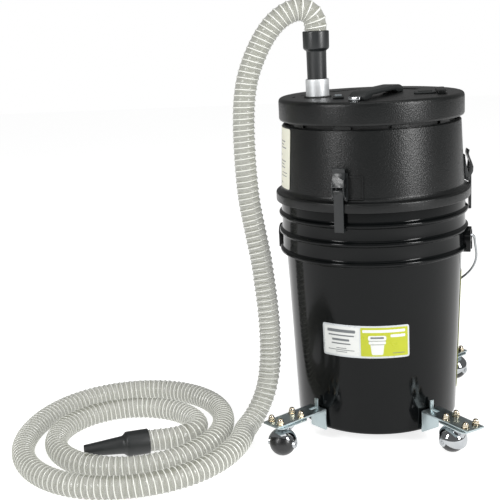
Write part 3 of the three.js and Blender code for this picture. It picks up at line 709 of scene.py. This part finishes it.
lid_profile = rounded((
    (133.4, 494), (137.4, 494, 1), (137.4, 508.2, 0.8), (145.4, 508.2, 1.4), (146.8, 511, 1.2), (146.8, 543.6, 7),
    (0, 543.6), (0, 539.6), (133.4, 539.6),
), closed=True, steps=6)
lid_tools = [rod(INLET_BORE, (*INLET, 530), (*INLET, 550), 48), block(70.2, 97.8, -40.3, -19.7, 530, 550)]
lid_tools += [
    placed(block(128, 141, -30, 30, 502.5, 507.1), about_z(36 * (i + 0.5))) for i in range(10)
]
lid_tools += [
    placed(block(-half, half, -wide, wide, TOP - 2, TOP + 1, 0.5), about_z(turn, x, y))
    for x, y, turn, half, wide in (
        (-121, -18, 80, 9, 1.6), (-108, 13, 60, 8, 1.6), (-96, -54, 30, 8, 1.6), (88, -120, 0, 3, 1.5),
        (49, -103, 0, 2.5, 1.5), (-32, 87, 35.5, 43, 7.5), (53, 75, -43.8, 33, 7.5),
    )
]
lid = combined(turned(lid_profile, 128, closed=True), "DIFFERENCE", *lid_tools)
lid_bar = block(102, 116, -57, 10, TOP - 1, TOP + 6, 1.6, 3)
piece("lid_cover", together(lid, lid_bar), PEBBLED, replaces=("lid",), crease=40)

# A dark rubber ring inside the exhaust windows: painted shade that makes the gap under the lid read black.
gap_shade = rounded(((129, 496), (132.6, 496), (132.6, 520), (129, 520)), closed=True)
piece("exhaust_gap_shade_ring", turned(gap_shade, 96, closed=True), MOULDED_RUBBER)

inlet_profile = rounded((
    (15.8, 522), (18.4, 522), (18.4, 569.6, 1), (17.9, 572, 0.8), (16.2, 572, 0.8), (15.8, 569),
), closed=True)
piece(
    "inlet_stub", placed(turned(inlet_profile, 64, closed=True), about_z(0, *INLET)), TURNED_ALUMINIUM,
    replaces=("inlet_tube",),
)
grommet = rounded(((18.6, TOP + 0.1), (22, TOP + 0.1, 0.8), (21.2, TOP + 2.2, 1), (18.6, TOP + 2.2, 0.4)), closed=True)
piece("inlet_grommet", placed(turned(grommet, 64, closed=True), about_z(0, *INLET)), MOULDED_RUBBER)

# ---- carry strap, switch and power inlet ----
STRAP = about_z(66.6, 10, -46)
REACH = 78
strap_outline = rounded((
    (-REACH, TOP + 0.4), (22 - REACH, TOP + 0.4, 4), (34 - REACH, TOP + 5.3, 4), (REACH - 34, TOP + 5.3, 4),
    (REACH - 22, TOP + 0.4, 4), (REACH, TOP + 0.4), (REACH, TOP + 7, 2), (REACH - 12, TOP + 12.2, 6),
    (REACH - 24, TOP + 13.2, 6), (24 - REACH, TOP + 13.2, 6), (12 - REACH, TOP + 12.2, 6), (-REACH, TOP + 7, 2),
), closed=True, steps=5)
piece(
    "carry_strap", placed(plate(strap_outline, -13.2, 13.2, 2.2), STRAP), BLACK_PVC_FLAT, replaces=("handle_strap",),
)
for name, side in (("handle_cap_front", -1), ("handle_cap_rear", 1)):
    middle = side * (REACH + 4.9)
    cap = block(middle - 4.5, middle + 4.5, -9.5, 9.5, TOP + 0.4, TOP + 6.6, 1.4, 3)
    piece(name.replace("handle_cap", "strap_end"), placed(cap, STRAP), CHROME, "pail", (name,))

SWITCH = about_z(0, -49, -62)
bezel = combined(
    block(-8.5, 8.5, -13.5, 13.5, TOP + 0.3, TOP + 4, 1.2), "DIFFERENCE",
    block(-5.6, 5.6, -10.6, 10.6, TOP - 1, TOP + 6),
)
piece("switch_frame", placed(bezel, SWITCH), BLACK_PVC_FLAT, replaces=("switch_bezel",))
rocker_outline = rounded((
    (-9.6, TOP + 2.6), (0, TOP + 0.6, 1), (9.6, TOP + 2.6), (9.6, TOP + 4.6, 0.5), (0, TOP + 3.6, 2),
    (-9.6, TOP + 6.6, 0.5),
), closed=True)
rocker = placed(plate(rocker_outline, -5.2, 5.2, 0.4), SWITCH @ Matrix.Rotation(math.pi / 2, 4, "Z"))
piece("switch_paddle", rocker, GREY_ABS, "rocker", ("switch_rocker",))

POWER = about_z(0, 84, -30)
inlet_block = combined(
    together(
        block(-16.5, 16.5, -13.5, 13.5, TOP + 0.3, TOP + 3, 0.8), block(-13.5, 13.5, -10, 10, TOP - 19, TOP + 1),
    ), "UNION",
)
inlet_block = combined(inlet_block, "DIFFERENCE", block(-11, 11, -7.8, 7.8, TOP - 13, TOP + 5))
piece("power_inlet_body", placed(inlet_block, POWER), BLACK_PVC_FLAT, replaces=("power_inlet",))
pins = together(*(
    block(x - 1, x + 1, y - 2, y + 2, TOP - 13.2, TOP - 2, 0.4) for x, y in ((-6.5, -2), (0, 2), (6.5, -2))
))
piece("power_inlet_pins", placed(pins, POWER), NICKEL)


# ---- draw latches ----
def pin(radius, at, y0, y1, sides=20, edge=0.0):
    """A round bar along y through a point (x, z)."""
    x, z = at
    return rod(radius, (x, y0, z), (x, y1, z), sides, edge)


def latch(name, angle):
    place = about_z(angle)
    ear = rounded((
        (148, 401), (150.5, 398.2, 1), (154, 397.6, 1.5), (156.5, 400, 1.5), (156.5, 403, 2), (152, 416, 5),
        (148, 438),
    ), closed=True)
    base = together(
        block(147.2, 148.8, -11.6, 11.6, 400.4, 440, 0.5), plate(ear, 10, 11.6, 0.35), plate(ear, -11.6, -10, 0.35),
        pin(1.6, LEVER_PIN, -11.4, 11.4),
        pin(2.6, LEVER_PIN, 11.4, 12.3, 24, 0.35), pin(2.6, LEVER_PIN, -12.3, -11.4, 24, 0.35),
        rod(2.6, (148.6, 0, 434), (149.9, 0, 434), 24, 0.5),
    )
    piece(f"{name}_catch_base", placed(base, place), SATIN_STEEL, "pail", (f"{name}_latch_base",))
    cheek = rounded((
        (150.6, 399.6, 1), (152.6, 398.4, 1), (155, 399.2, 1), (161.6, 411.5, 2), (162.2, 420, 1), (158.9, 430),
        (156.7, 430), (155.5, 417, 3), (151, 403, 1),
    ), closed=True)
    blade = rounded((
        (160, 420), (162.2, 420), (154.6, 441, 2), (156.2, 447.5, 0.8), (154.2, 448.6, 0.8), (152.4, 441.5, 2),
    ), closed=True)
    lever = combined(
        together(
            plate(cheek, 8, 9.6, 0.3), plate(cheek, -9.6, -8, 0.3), plate(blade, -9.6, 9.6, 0.5),
            pin(1.4, STRAP_PIN, -8.8, 8.8),
        ), "DIFFERENCE", pin(2, LEVER_PIN, -15, 15),
    )
    piece(f"{name}_catch_lever", placed(lever, place), SATIN_STEEL, f"{name}_lever", (f"{name}_latch_lever",))
    side = rounded((
        (150.2, 351, 0.6), (159.4, 351, 1.2), (159.4, 409.5, 2), (161.4, 412.3, 1), (161.4, 414.9, 1),
        (159.6, 416.7, 1), (156.8, 416.7, 1), (155, 414.9, 1), (155, 412.3, 1), (157, 409.5, 2), (157, 353.4, 0.8),
        (152.2, 353.4, 0.4), (152.2, 355.4, 0.4), (150.2, 355.4, 0.4),
    ), closed=True)
    strap = combined(plate(side, -7.5, 7.5, 0.45), "DIFFERENCE", pin(1.8, STRAP_PIN, -10, 10))
    piece(f"{name}_catch_strap", placed(strap, place), SATIN_STEEL, f"{name}_strap", (f"{name}_latch_strap",))


for latch_name, latch_angle in LATCHES.items():
    latch(latch_name, latch_angle)


# ---- brackets and ball casters ----
def bolt_places():
    return [(CASTER_R + i * 21.5, j * 10.5) for i in (-1, 1) for j in (-1, 1)]


def bracket_shape():
    """Sheet steel folded once, with a tongue lanced out of it and turned up against the pail."""
    fold = plate(rounded((
        (134.4, 17.4), (137.4, 17.4), (137.4, 50.3, 1), (239, 50.3), (239, STRIP_TOP), (134.4, STRIP_TOP, 3.2),
    ), closed=True), -17, 17, 0.35)
    slot = block(141.9, 155.4, -3.6, 3.6, 40, 60)
    holes = [rod(2.9, (x, y, 40), (x, y, 60), 20) for x, y in bolt_places()]
    strip = combined(fold, "DIFFERENCE", slot, *holes)
    tongue = plate(rounded((
        (138.4, 50.6), (141.9, 50.6, 0.4), (141.4, 54), (141.4, 68.3, 0.6), (138.4, 68.3, 0.6), (138.4, 54),
    ), closed=True), -3.2, 3.2, 0.5)
    rivets = [rod(3.1, (124, y, RIVET_Z), (135, y, RIVET_Z), 20) for y in (-9, 9)]
    heads = [rod(5.5, (124, y, RIVET_Z), (126.2, y, RIVET_Z), 24, 0.7) for y in (-9, 9)]
    return together(strip, tongue, *rivets, *heads)


def cap_nut(x, y):
    z = STRIP_TOP + 0.3
    hexagon = placed(rod(5.6, (0, 0, z + 0.9), (0, 0, z + 5), 6, 0.5), about_z(15, x, y))
    washer = rod(6.2, (x, y, z), (x, y, z + 0.9), 28, 0.3)
    dome = placed(turned(rounded((
        (0, z + 4.6), (4.4, z + 4.6), (4.4, z + 6.4, 1.4), (3.2, z + 9.2, 1.6), (0, z + 10),
    )), 28), Matrix.Translation((x, y, 0)))
    return together(hexagon, washer, dome)


def caster_plate_shape():
    top = 50
    outline = rounded(tuple(
        (CASTER_R + sx * 29.5, sy * 20.5, 9) for sx, sy in ((-1, -1), (1, -1), (1, 1), (-1, 1))
    ), closed=True, steps=6)
    sheet = plate(outline, top - 2.2, top, 0.5, flat=True)
    raceway = placed(turned(rounded((
        (0, top - 4.2), (13, top - 4.2, 1), (13.6, top - 2.4), (13.6, top - 1), (0, top - 1),
    )), 48), Matrix.Translation((CASTER_R, 0, 0)))
    studs = [rod(2.4, (x, y, top - 1), (x, y, STRIP_TOP + 2), 16) for x, y in bolt_places()]
    return together(sheet, raceway, *studs)


def hood_shape():
    """A pressed ball hood: a shell over the top and back of the ball, an ear at each end of the axle,
    and a neck."""
    shell = combined(ball(23.5), "DIFFERENCE", ball(22.1, around=40, along=20))
    tilt = Matrix.Translation((0, 0, 4)) @ Matrix.Rotation(math.radians(-32), 4, "Y")
    keep = combined(
        placed(block(-30, 30, -30, 30, 0, 40), tilt), "UNION", rod(6.5, (0, -30, 0), (0, 30, 0), 40),
    )
    cover = combined(shell, "INTERSECT", keep)
    neck = placed(turned(rounded((
        (0, 8), (5, 8), (7.2, 14, 3), (12.5, 20.6, 2.4), (12.5, 25, 0.6), (0, 25),
    )), 48), Matrix.Translation((-TRAIL, 0, 0)))
    neck = combined(neck, "DIFFERENCE", ball(22.6, around=40, along=20))
    return placed(together(cover, neck), Matrix.Translation((TRAIL, 0, BALL_R)))


def axle_shape():
    axis = (TRAIL, BALL_R)
    heads = [pin(3.2, axis, s * 23.1, s * 24.2, 24, 0.4) for s in (-1, 1)]
    return together(pin(2, axis, -23.6, 23.6), *heads)


bracket_made, plate_made, hood_made = bracket_shape(), caster_plate_shape(), hood_shape()
nuts_made = together(*(cap_nut(x, y) for x, y in bolt_places()))
for corner, (angle, trail) in CORNERS.items():
    out = about_z(angle)
    swivel = about_z(trail, *(out @ Vector((CASTER_R, 0, 0))).xy)
    piece(f"{corner}_angle_bracket", placed(bracket_made.copy(), out), ZINC, "pail", (f"{corner}_bracket",))
    piece(f"{corner}_mounting_plate", placed(plate_made.copy(), out), ZINC, "pail", (f"{corner}_caster_plate",))
    piece(f"{corner}_cap_nuts", placed(nuts_made.copy(), out), NICKEL, "pail")
    piece(f"{corner}_ball_hood", placed(hood_made.copy(), swivel), CHROME, f"{corner}_swivel",
          (f"{corner}_caster_hood",), crease=45)
    piece(f"{corner}_axle_pin", placed(axle_shape(), swivel), BRIGHT_STEEL, f"{corner}_swivel",
          (f"{corner}_caster_axle",))
    piece(f"{corner}_ball_wheel", placed(ball(BALL_R, (TRAIL, 0, BALL_R)), swivel), HARD_RUBBER, f"{corner}_ball",
          (f"{corner}_caster_ball",))

# ---- CAD nodes that stay: the inner works ----
KEPT = {
    MOULDED_RUBBER: ("rim_gasket", "motor_gasket", "filter_top_ring"),
    BRIGHT_STEEL: ("fan_shell", "motor_case", "motor_shaft"),
    TURNED_ALUMINIUM: ("impeller",),
    FILTER_PAPER: ("filter_cartridge",),
    BLACK_PVC_FLAT: ("filter_end_cap", "inlet_downpipe"),
}
for finish, names in KEPT.items():
    for name in names:
        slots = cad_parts[name].data.materials
        slots.clear()
        slots.append(finish)


# ---- floor and studio ----
def studio():
    scene = bpy.context.scene
    scene.view_settings.view_transform = "Standard"
    material, _, shader, _ = new_finish(
        "painted_pale_floor", Roughness=0.9, Emission_Color=(1, 1, 1, 1), Emission_Strength=0.81
    )
    shader.inputs["Base Color"].default_value = hexed("#BCBCBC")
    shape = bmesh.new()
    bmesh.ops.create_grid(shape, x_segments=1, y_segments=1, size=6)
    mesh = bpy.data.meshes.new("floor")
    shape.to_mesh(mesh)
    shape.free()
    mesh.materials.append(material)
    floor = bpy.data.objects.new("floor", mesh)
    scene.collection.objects.link(floor)

    world = bpy.data.worlds.new("studio")
    scene.world = world
    world.use_nodes = True
    tree = world.node_tree
    tree.nodes.clear()
    seen = node(tree, "Background", {"Color": (1, 1, 1, 1), "Strength": 1.0})
    rays = node(tree, "LightPath")
    soft = node(tree, "Math", {0: rays.outputs["Is Diffuse Ray"], 1: 0.1, 2: 0.22}, operation="MULTIPLY_ADD")
    lit = node(tree, "Background", {"Color": (1, 1, 1, 1), "Strength": soft.outputs[0]})
    mixed = node(tree, "MixShader", {0: rays.outputs["Is Camera Ray"], 1: lit.outputs[0], 2: seen.outputs[0]})
    node(tree, "OutputWorld", {"Surface": mixed.outputs[0]})
    for name, at, size, power in (
        ("left_softbox", (-1.5, -1.5, 1.3), (0.45, 1.3), 26),
        ("right_softbox", (1.45, -1.2, 1.15), (0.45, 1.5), 42),
        ("top_softbox", (0.1, -0.3, 2.3), (1.6, 1.2), 8),
    ):
        data = bpy.data.lights.new(name, "AREA")
        data.shape, data.size, data.size_y, data.energy = "RECTANGLE", *size, power
        light = bpy.data.objects.new(name, data)
        aim = Vector((0, 0, 0.35)) - Vector(at)
        light.matrix_world = Matrix.Translation(at) @ aim.to_track_quat("-Z", "Y").to_matrix().to_4x4()
        scene.collection.objects.link(light)


studio()
